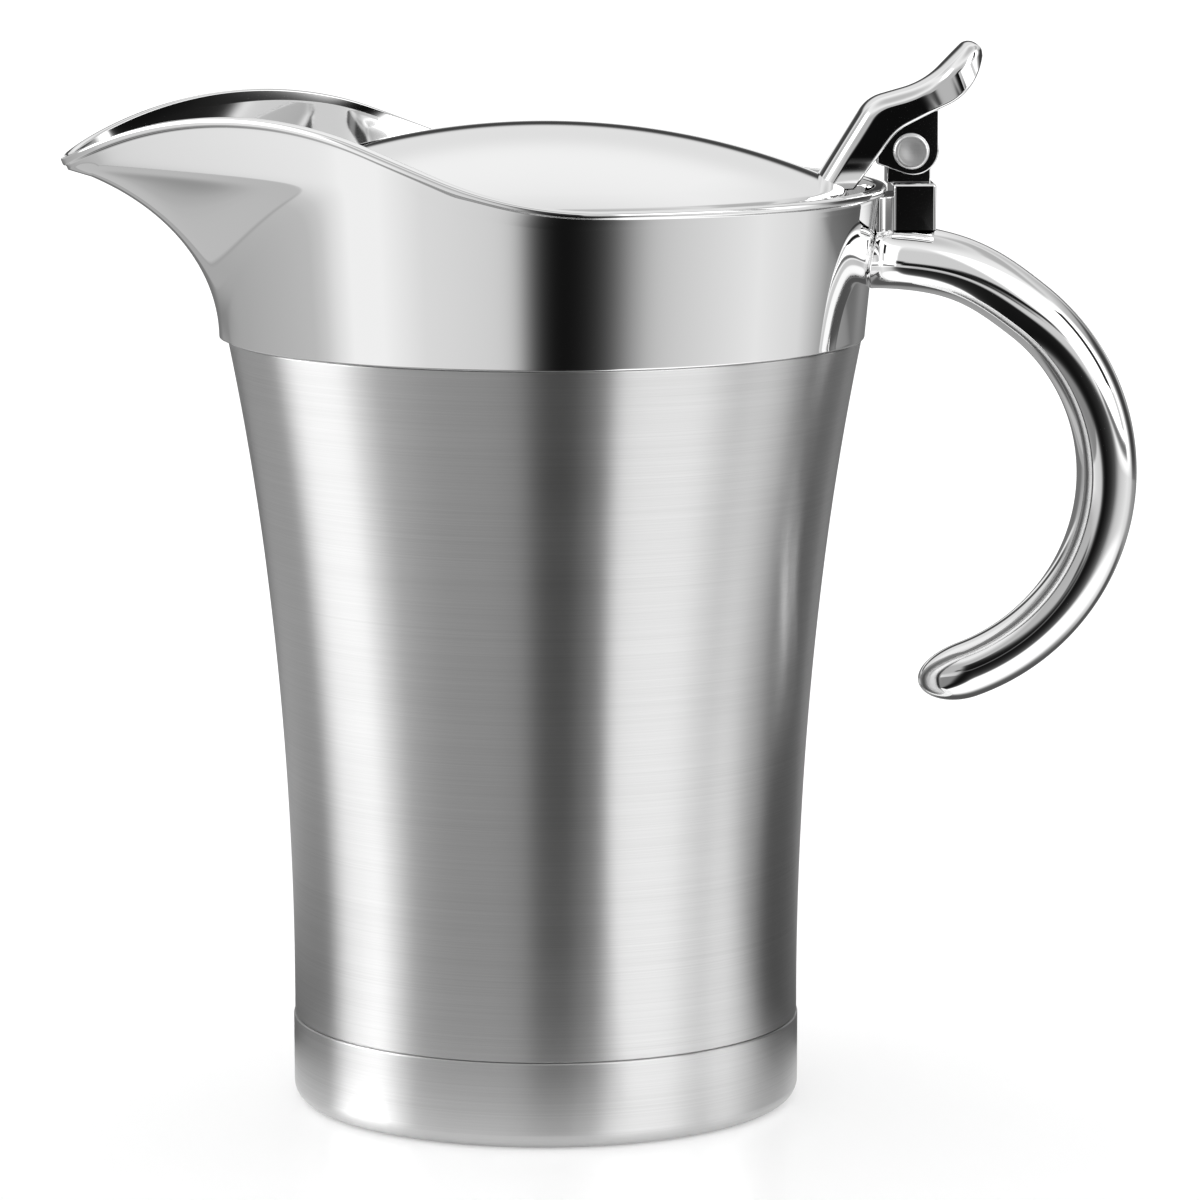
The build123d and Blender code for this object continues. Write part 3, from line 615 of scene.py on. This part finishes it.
# %% Rivet: half its profile from the face of a head to the shaft, mirrored and turned
FACE_R, FACE_Y, HOLLOW, HEAD_R, SHAFT_R = 2.25, 6.98, 0.1, 2.95, 1.8
head = np.radians(np.linspace(0, 90, 12))
face_r = np.linspace(0, FACE_R, 12)
face_y = FACE_Y - HOLLOW * np.cos(face_r / FACE_R * math.pi / 2) ** 2
edge_r, edge_y = 2.35 + 0.6 * np.sin(head[2:]), 6.45 + 0.6 * np.cos(head[2:])
pin_line = np.vstack([np.stack([face_r, face_y], 1), np.stack([edge_r, edge_y], 1),
                      [(HEAD_R, 6.05), (SHAFT_R, 6.03)]])
pin_line = np.vstack([pin_line, (pin_line * (1, -1))[::-1]])
a = np.linspace(0, 2 * math.pi, 72, endpoint=False)
pin_grid = np.stack([PIVOT_X + pin_line[1:-1, :1] * np.cos(a), np.repeat(pin_line[1:-1, 1:], 72, 1),
                     PIVOT_Z + pin_line[1:-1, :1] * np.sin(a)], -1)
pin = grid_object("hinge_rivet", pin_grid, ((PIVOT_X, pin_line[0, 1], PIVOT_Z),
                                            (PIVOT_X, pin_line[-1, 1], PIVOT_Z)))
print("rivet", [round(v * 1000, 1) for v in pin.dimensions], "mm")

# %% [markdown]
# ## Even normals
# Smooth shading averages the directions of neighbouring faces, so a small rounding would tilt
# the light on the flat beside it and draw a false bright band. Sharp edges would stop that but
# lose the soft corner. The Weighted Normal modifier lets large faces decide instead.

# %% Flat faces keep their true normals next to their rounded edges
FLAT_SIDED = (body, cap, liner, block, web, tongue, lever, *ears, pin)
for piece in FLAT_SIDED:
    even = piece.modifiers.new("even_normals", "WEIGHTED_NORMAL")
    even.keep_sharp = True
    even.weight = 100
print("even normals on", len(FLAT_SIDED), "pieces")

# %% [markdown]
# ## What moves, and what stands for what
# The jug stands still, and the lid turns about the rivet with its pan, lever and ears. Each new
# piece rides on one of these two bodies and hides the CAD node that it stands for.

# %% Every piece rides on its body and stands for its CAD node
for obj, node_name, slot in (
        (body, "outer_shell", "brushed_body"), (cap, "base_cap", "brushed_body"),
        (liner, "inner_liner", "liner"), (collar, "spout_collar", "polished"),
        (handle, "handle", "polished"), (block, "hinge_post", "polished"),
        (web, "hinge_post", "polished"), (tongue, "hinge_post", "polished")):
    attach(obj, "jug")
    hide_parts(node_name)
for obj, node_name, slot in (
        (dome, "lid_dome", "polished"), (pan, "lid_underside", "liner"),
        (lever, "thumb_lever", "polished"), (ears[0], "thumb_lever", "polished"),
        (ears[1], "thumb_lever", "polished"), (pin, "hinge_pin", "pin")):
    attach(obj, "lid")
    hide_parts(node_name)
print("the lid turns with", [obj.name for obj in (dome, pan, lever, *ears, pin)])

# %% [markdown]
# ## Camera
# A long lens about a metre away keeps the near and far sides of the collar almost the same size.
# The camera looks down a little, so the lid's dome and the inside of the spout both show.

# %% Camera at the viewing angle
camera = bpy.data.objects.new("camera", bpy.data.cameras.new("camera"))
camera.data.lens = 182.2
camera.data.sensor_width = 36.0
camera.data.clip_start, camera.data.clip_end = 0.05, 50.0
camera.location = (-0.02579, -0.99971, 0.2364)
camera.rotation_euler = (math.radians(81.32), 0, math.radians(-2.0))
bpy.context.scene.collection.objects.link(camera)
bpy.context.scene.camera = camera
print("camera distance", round(camera.location.length, 3), "m")

# %% [markdown]
# ## Steel finishes
# Every piece is stainless steel, so what tells them apart is how each was finished. Streaks and
# faint smears come from noise that is stretched along the direction of the work. An image could
# hold such marks, but noise has no seam and stays sharp close up. Two node groups hold the
# patterns, and each finish uses one of them with its own values.

# %% Node helpers
def new_group(name, inputs, outputs):
    """A shader node group with float inputs (name, value) and outputs (name, socket type)."""
    group = bpy.data.node_groups.new(name, "ShaderNodeTree")
    for label, value in inputs:
        socket = group.interface.new_socket(label, in_out="INPUT", socket_type="NodeSocketFloat")
        socket.default_value = value
    for label, kind in outputs:
        group.interface.new_socket(label, in_out="OUTPUT", socket_type=kind)
    return group, group.nodes.new("NodeGroupInput"), group.nodes.new("NodeGroupOutput")


def node(tree, kind, links=(), **values):
    """A node with its properties set, and (input name, socket or number) pairs joined or set."""
    made = tree.nodes.new(kind)
    for key, value in values.items():
        setattr(made, key, value)
    for key, value in links:
        if isinstance(value, bpy.types.NodeSocket):
            tree.links.new(value, made.inputs[key])
        else:
            made.inputs[key].default_value = value
    return made


NOISE_LOW, NOISE_HIGH = 0.25, 0.75


def spread(tree, value, low, high):
    """The usual range of a noise, 0.25 to 0.75, mapped to low to high."""
    return node(tree, "ShaderNodeMapRange", [
        ("Value", value), ("From Min", NOISE_LOW), ("From Max", NOISE_HIGH), ("To Min", low),
        ("To Max", high)]).outputs["Result"]

# %% Brushing group: fine lines that run round the vertical axis, and slow clouds between them
CLOUD_STRETCH = (9.0, 9.0, 120.0)
brushing, given, out = new_group(
    "brushing", [("Line Scale", 5200.0), ("Length Scale", 14.0)],
    [("Line", "NodeSocketFloat"), ("Cloud", "NodeSocketFloat")])
place = node(brushing, "ShaderNodeTexCoord").outputs["Object"]
stretch = node(brushing, "ShaderNodeCombineXYZ", [
    ("X", given.outputs["Length Scale"]), ("Y", given.outputs["Length Scale"]),
    ("Z", given.outputs["Line Scale"])]).outputs[0]
lines_at = node(brushing, "ShaderNodeVectorMath", [(0, place), (1, stretch)],
                operation="MULTIPLY").outputs[0]
line = node(brushing, "ShaderNodeTexNoise", [
    ("Vector", lines_at), ("Scale", 1.0), ("Detail", 3.0), ("Roughness", 0.65)]).outputs["Fac"]
cloud_at = node(brushing, "ShaderNodeVectorMath", [(0, place), (1, CLOUD_STRETCH)],
                operation="MULTIPLY").outputs[0]
cloud = node(brushing, "ShaderNodeTexNoise", [
    ("Vector", cloud_at), ("Scale", 1.0), ("Detail", 2.0)]).outputs["Fac"]
brushing.links.new(line, out.inputs["Line"])
brushing.links.new(cloud, out.inputs["Cloud"])
print("brushing group", len(brushing.nodes), "nodes")

# %% Handling group: soft smears left by a polishing cloth, and the sheet's own waviness
handling, given, out = new_group(
    "handling", [("Scale", 30.0)], [("Smear", "NodeSocketFloat"), ("Wave", "NodeSocketFloat")])
place = node(handling, "ShaderNodeTexCoord").outputs["Object"]
smear = node(handling, "ShaderNodeTexNoise", [
    ("Vector", place), ("Scale", given.outputs["Scale"]), ("Detail", 4.0), ("Roughness", 0.6),
    ("Distortion", 1.2)]).outputs["Fac"]
wave = node(handling, "ShaderNodeTexNoise", [
    ("Vector", place), ("Scale", 14.0), ("Detail", 0.0)]).outputs["Fac"]
handling.links.new(smear, out.inputs["Smear"])
handling.links.new(wave, out.inputs["Wave"])
print("handling group", len(handling.nodes), "nodes")

# %% Helpers that start a steel, place a group in it and tint it
def placed(tree, group, **values):
    """A group placed in a material, with its inputs set."""
    made = node(tree, "ShaderNodeGroup", node_tree=group)
    for key, value in values.items():
        made.inputs[key.replace("_", " ")].default_value = value
    return made.outputs


def steel(name):
    """An empty steel material with its node tree and shader."""
    material = bpy.data.materials.new(name)
    material.use_nodes = True
    shader = material.node_tree.nodes["Principled BSDF"]
    shader.inputs["Metallic"].default_value = 1.0
    return material, material.node_tree, shader


def tint(tree, shader, pattern, low, high):
    """A grey between low and high that follows a pattern, joined to the shader's Base Color."""
    shade = spread(tree, pattern, low, high)
    grey = node(tree, "ShaderNodeCombineColor", [("Red", shade), ("Green", shade), ("Blue", shade)])
    tree.links.new(grey.outputs[0], shader.inputs["Base Color"])

# %% [markdown]
# ## Brushed body
# The body was brushed on a lathe, so its scratches run round it and stretch every highlight up
# and down. Scratches this fine can't be modelled, but the shader's Anisotropic value spreads the
# reflection in the same way, with a radial tangent, and a faint bump breaks it into lines.

# %% Brushed steel for the body and the base cap
BRUSHED_GREY, BRUSHED_ROUGH, ROUGH_VARIES = (0.55, 0.63), 0.33, 0.015
brushed, tree, shader = steel("brushed_steel")
marks = placed(tree, brushing)
tint(tree, shader, marks["Line"], *BRUSHED_GREY)
tree.links.new(spread(tree, marks["Cloud"], BRUSHED_ROUGH - ROUGH_VARIES,
                      BRUSHED_ROUGH + ROUGH_VARIES), shader.inputs["Roughness"])
bump = node(tree, "ShaderNodeBump", [("Height", marks["Line"]), ("Strength", 0.12),
                                     ("Distance", 0.00004)])
tree.links.new(bump.outputs[0], shader.inputs["Normal"])
shader.inputs["Anisotropic"].default_value = 1.0
shader.inputs["Anisotropic Rotation"].default_value = 0.25
tangent = node(tree, "ShaderNodeTangent", direction_type="RADIAL", axis="Z")
tree.links.new(tangent.outputs[0], shader.inputs["Tangent"])
print("made", brushed.name)

# %% [markdown]
# ## Mirror polish
# Collar, handle, hinge and lid were buffed to a mirror. A perfect mirror looks drawn, so the
# roughness changes a little where a cloth has passed, and a long soft bump bends the
# reflections as slightly uneven sheet does.

# %% Polished steel for the collar, handle, hinge and lid
POLISHED_GREY, POLISHED_ROUGH = (0.86, 0.86, 0.86, 1), (0.015, 0.04)
polished, tree, shader = steel("polished_steel")
shader.inputs["Base Color"].default_value = POLISHED_GREY
marks = placed(tree, handling)
tree.links.new(spread(tree, marks["Smear"], *POLISHED_ROUGH), shader.inputs["Roughness"])
bump = node(tree, "ShaderNodeBump", [("Height", marks["Wave"]), ("Strength", 0.1),
                                     ("Distance", 0.0006)])
tree.links.new(bump.outputs[0], shader.inputs["Normal"])
print("made", polished.name)

# %% [markdown]
# ## Satin steel
# The cup's inside, the lid's underside and the rivet's heads are left as turned, neither brushed
# nor buffed. The same brushing group serves, with coarser and shorter lines and no bump.

# %% Satin steel, and every piece given its finish
def satin(name, low, high, grey):
    """Steel with turned lines: grey varies by 0.04 each way, roughness between low and high."""
    material, tree, shader = steel(name)
    marks = placed(tree, brushing, Line_Scale=1800.0, Length_Scale=30.0)
    tint(tree, shader, marks["Line"], grey - 0.04, grey + 0.04)
    tree.links.new(spread(tree, marks["Cloud"], low, high), shader.inputs["Roughness"])
    return material


FINISHES = (
    (brushed, (body, cap)),
    (polished, (collar, handle, block, web, tongue, dome, lever, *ears)),
    (satin("liner_steel", 0.22, 0.32, 0.7), (liner, pan)),
    (satin("rivet_steel", 0.30, 0.38, 0.72), (pin,)))
for material, pieces in FINISHES:
    for piece in pieces:
        piece.data.materials.append(material)
print("finishes:", [material.name for material, pieces in FINISHES])

# %% [markdown]
# ## Reflection dish
# Polished steel has no look of its own: it shows the room. A photographer bends a card round the
# table so that the metal reflects smooth tones with soft edges. Lamps and single cards could
# stand here too, but one dish, lying on the table and rising to a wall, leaves no gaps between
# them. Only reflections see it, so the table is lit by the white room alone.

# %% Tones of the dish by azimuth, on the table and up the wall
# Azimuth 0 is towards the camera and grows towards +X. Each stop is (azimuth in degrees, tone).
# The track runs 0 to 1 over the table, 1 to 2 up the wall and 2 to 3 under the ceiling.
TABLE_STOPS = np.array([
    (-180, 0.40), (-150, 0.42), (-130, 0.44), (-100, 0.52), (-88, 0.56), (-82, 0.66),
    (-77, 0.82), (-70, 1.0), (-58, 1.0), (-42, 0.80), (-14, 0.70), (30, 0.60), (52, 0.74),
    (76, 0.90), (97, 0.78), (113, 0.36), (140, 0.27), (165, 0.36), (180, 0.40)])
WALL_STOPS = np.array([
    (-180, 1.0), (-155, 1.0), (-140, 0.5), (-114, 0.5), (-107, 3.4), (-101, 5.2), (-80, 5.2),
    (-72, 2.4), (-62, 0.5), (0, 0.55), (11, 0.7), (20, 0.7), (28, 2.8), (66, 2.8), (84, 2.0),
    (102, 0.45), (150, 0.6), (165, 1.0), (180, 1.0)])
print("stops", len(TABLE_STOPS), "and", len(WALL_STOPS))

# %% Cards on the dish
# Each is (start, end, soft start, soft end) in degrees, (from, to, soft) on the track, and tone.
DISH_CARDS = [
    ((-172, -60, 3.0, 8.0), (-1, 0.40, 0.006), 0.56),
    ((-60, -6, 8.0, 3.0), (-1, 0.40, 0.006), 0.26),
    ((-172, -80, 3.0, 3.0), (0.40, 0.412, 0.002), 0.30),
    ((-8.7, 26.8, 2.3, 4.0), (-1, 1.045, 0.006), 0.003),
    ((-8.7, 11.0, 2.3, 0.2), (1.045, 1.40, 0.006), 0.004),
    ((-20, -8.7, 1.5, 2.3), (1.10, 1.18, 0.006), 0.02),
    ((10.5, 15.5, 0.3, 0.4), (1.13, 1.215, 0.004), 0.004),
    ((14.0, 23.0, 0.4, 1.0), (1.17, 1.235, 0.004), 0.004),
    ((24.5, 78, 0.8, 2.0), (1.05, 1.115, 0.006), 0.16),
    ((23.5, 84, 0.8, 5.0), (-1, 0.36, 0.02), 1.3),
    ((104, 145, 2.0, 3.0), (-1, 0.36, 0.02), 0.10),
    ((-172, -73, 3.0, 4.0), (-1, 0.15, 0.02), 0.10),
    ((86, 120, 4.0, 3.0), (-1, 0.15, 0.02), 0.10),
    ((106, 142, 2.0, 3.0), (1.0, 1.5, 0.02), 0.05),
    ((68, 84, 1.5, 2.0), (1.15, 1.300, 0.0015), 0.66),
    ((62, 78, 1.0, 1.0), (1.300, 1.75, 0.0015), 0.004),
    ((90, 150, 3.0, 3.0), (1.9, 2.3, 0.02), 0.5),
]
# Cards behind the jug cross azimuth 180, so each is laid twice, once from either side.
BEHIND = ((148, 215, 4.0, 4.0), (-215, -148, 4.0, 4.0))
BACK_CARDS = (((1.2, 1.6, 0.05), 0.80), ((0.6, 1.31, 0.01), 0.18), ((1.22, 1.31, 0.01), 0.05),
              ((1.138, 1.192, 0.004), 1.0))
ALL_ROUND, CEILING_MIDDLE, CEILING_TONE = (-400, 400, 1.0, 1.0), (2.4, 4, 0.12), 0.55
DISH_CARDS += [(half, band, level) for band, level in BACK_CARDS for half in BEHIND]
DISH_CARDS.append((ALL_ROUND, CEILING_MIDDLE, CEILING_TONE))
print("cards", len(DISH_CARDS))

# %% Points of the dish: out over the table, up the wall and in under the ceiling, in metres
DISH_IN, DISH_OUT, DISH_TOP, DISH_ABOVE, CEILING_RISE = 0.06, 0.8, 0.9, 0.0006, 0.2
turn = np.linspace(-180, 180, 481)[None, :]
track = np.unique(np.concatenate([
    np.linspace(0, 1, 41), np.linspace(1, 2, 121), np.linspace(1.26, 1.34, 61),
    np.linspace(2, 2.99, 16)]))[:, None]
radius = DISH_IN + (DISH_OUT - DISH_IN) * np.minimum(track, 1)
radius = radius * (1 - np.clip(track - 2, 0, 1))
z = DISH_ABOVE + DISH_TOP * np.clip(track - 1, 0, 1) + CEILING_RISE * np.clip(track - 2, 0, 1)
a = np.radians(turn)
points = np.stack(np.broadcast_arrays(radius * np.sin(a), -radius * np.cos(a), z), -1)
print("dish points", points.shape)

# %% Tone at each point: the stops, then the cards laid over them in order
TABLE_TO_WALL, CEILING_FROM, CEILING_FADE = 0.12, 1.6, 0.4


def soft_step(value, at, soft):
    """Rises from 0 to 1 around a place: 1 / (1 + exp(-(value - at) / soft))."""
    return 1 / (1 + np.exp(-np.clip((value - at) / soft, -60, 60)))


blend = np.clip((track - 1) / TABLE_TO_WALL, 0, 1)
tone = np.interp(turn, *TABLE_STOPS.T) * (1 - blend) + np.interp(turn, *WALL_STOPS.T) * blend
fade = np.clip((track - CEILING_FROM) / CEILING_FADE, 0, 1)
tone = tone * (1 - fade) + fade
for (start, end, soft_a, soft_b), (low, high, soft_t), level in DISH_CARDS:
    cover = soft_step(turn, start, soft_a) * soft_step(-turn, -end, soft_b)
    cover = cover * soft_step(track, low, soft_t) * soft_step(-track, -high, soft_t)
    tone = tone * (1 - cover) + level * cover
print("tones from", tone.min().round(3), "to", tone.max().round(2))

# %% Dish mesh, which carries its tone as an attribute and shows only in reflections
row, col = np.meshgrid(np.arange(len(track) - 1), np.arange(turn.size - 1), indexing="ij")
corner = row * turn.size + col
faces = np.stack([corner, corner + turn.size, corner + turn.size + 1, corner + 1], -1)
dish_mesh = bpy.data.meshes.new("reflection_dish")
dish_mesh.from_pydata(points.reshape(-1, 3).tolist(), [], faces.reshape(-1, 4).tolist())
dish_mesh.attributes.new("tone", "FLOAT", "POINT").data.foreach_set(
    "value", tone.ravel().astype(np.float32))
dish = bpy.data.objects.new("reflection_dish", dish_mesh)
bpy.context.scene.collection.objects.link(dish)
for seen_by in ("camera", "diffuse", "shadow", "transmission", "volume_scatter"):
    setattr(dish, "visible_" + seen_by, False)
print("dish first normal", [round(v, 2) for v in dish_mesh.polygons[0].normal])

# %% Dish material: light as strong as the tone, and clear when met from behind
glow = bpy.data.materials.new("reflection_dish")
glow.use_nodes = True
glow.cycles.emission_sampling = "NONE"
tree = glow.node_tree
tree.nodes.clear()
level = node(tree, "ShaderNodeAttribute", attribute_name="tone").outputs["Fac"]
lit = node(tree, "ShaderNodeEmission", [("Strength", level)])
clear = node(tree, "ShaderNodeBsdfTransparent")
back = node(tree, "ShaderNodeNewGeometry").outputs["Backfacing"]
mix = node(tree, "ShaderNodeMixShader", [(0, back), (1, lit.outputs[0]), (2, clear.outputs[0])])
node(tree, "ShaderNodeOutputMaterial", [("Surface", mix.outputs[0])])
dish_mesh.materials.append(glow)
print("made", glow.name)

# %% [markdown]
# ## Room and table
# The jug stands on a glossy white table in an evenly white room, so it has a faint reflection
# below it and almost no shadow. A lamp would add hard highlights that the photograph lacks. The
# table is matt far out and glossy near the jug. A little light of its own, seen only by the
# camera, by mirror reflections and through glass, keeps it as white as the background.

# %% White room
WHITE = (1, 1, 1, 1)
world = bpy.data.worlds.new("room")
bpy.context.scene.world = world
world.use_nodes = True
world.node_tree.nodes["Background"].inputs[0].default_value = WHITE
world.node_tree.nodes["Background"].inputs[1].default_value = 1.0
bpy.context.scene.view_settings.view_transform = "Standard"
print("made", world.name)

# %% Table top: glossy near the jug, matt far out, and lifted to white for the camera
TABLE_HALF, GLOSS_END, MATT_FROM, TABLE_LIFT = 12.0, 0.12, 0.3, 0.24
table_mesh = bpy.data.meshes.new("table_top")
table_mesh.from_pydata([(-TABLE_HALF, -TABLE_HALF, 0), (TABLE_HALF, -TABLE_HALF, 0),
                        (TABLE_HALF, TABLE_HALF, 0), (-TABLE_HALF, TABLE_HALF, 0)],
                       [], [(0, 1, 2, 3)])
table_top = bpy.data.objects.new("table_top", table_mesh)
bpy.context.scene.collection.objects.link(table_top)
gloss = bpy.data.materials.new("glossy_table")
gloss.use_nodes = True
tree = gloss.node_tree
shader = tree.nodes["Principled BSDF"]
shader.inputs["Base Color"].default_value = WHITE
shader.inputs["Roughness"].default_value = 0.15
shader.inputs["IOR"].default_value = 1.3
matt = node(tree, "ShaderNodeBsdfDiffuse", [("Color", WHITE)])
spot = node(tree, "ShaderNodeTexCoord").outputs["Object"]
far = node(tree, "ShaderNodeVectorMath", [(0, spot)], operation="LENGTH").outputs["Value"]
near = node(tree, "ShaderNodeMapRange", [
    ("Value", far), ("From Min", GLOSS_END), ("From Max", MATT_FROM), ("To Min", 1.0),
    ("To Max", 0.0)]).outputs["Result"]
top = node(tree, "ShaderNodeMixShader", [(0, near), (1, matt.outputs[0]), (2, shader.outputs[0])])
path = node(tree, "ShaderNodeLightPath").outputs
seen = path["Is Camera Ray"]
for ray in ("Is Glossy Ray", "Is Transmission Ray"):
    seen = node(tree, "ShaderNodeMath", [(0, seen), (1, path[ray])], operation="MAXIMUM").outputs[0]
lift = node(tree, "ShaderNodeMath", [(0, seen), (1, TABLE_LIFT)], operation="MULTIPLY").outputs[0]
white = node(tree, "ShaderNodeEmission", [("Color", WHITE), ("Strength", lift)])
lifted = node(tree, "ShaderNodeAddShader", [(0, top.outputs[0]), (1, white.outputs[0])])
tree.links.new(lifted.outputs[0], tree.nodes["Material Output"].inputs["Surface"])
table_mesh.materials.append(gloss)
print("table", 2 * TABLE_HALF, "m across")
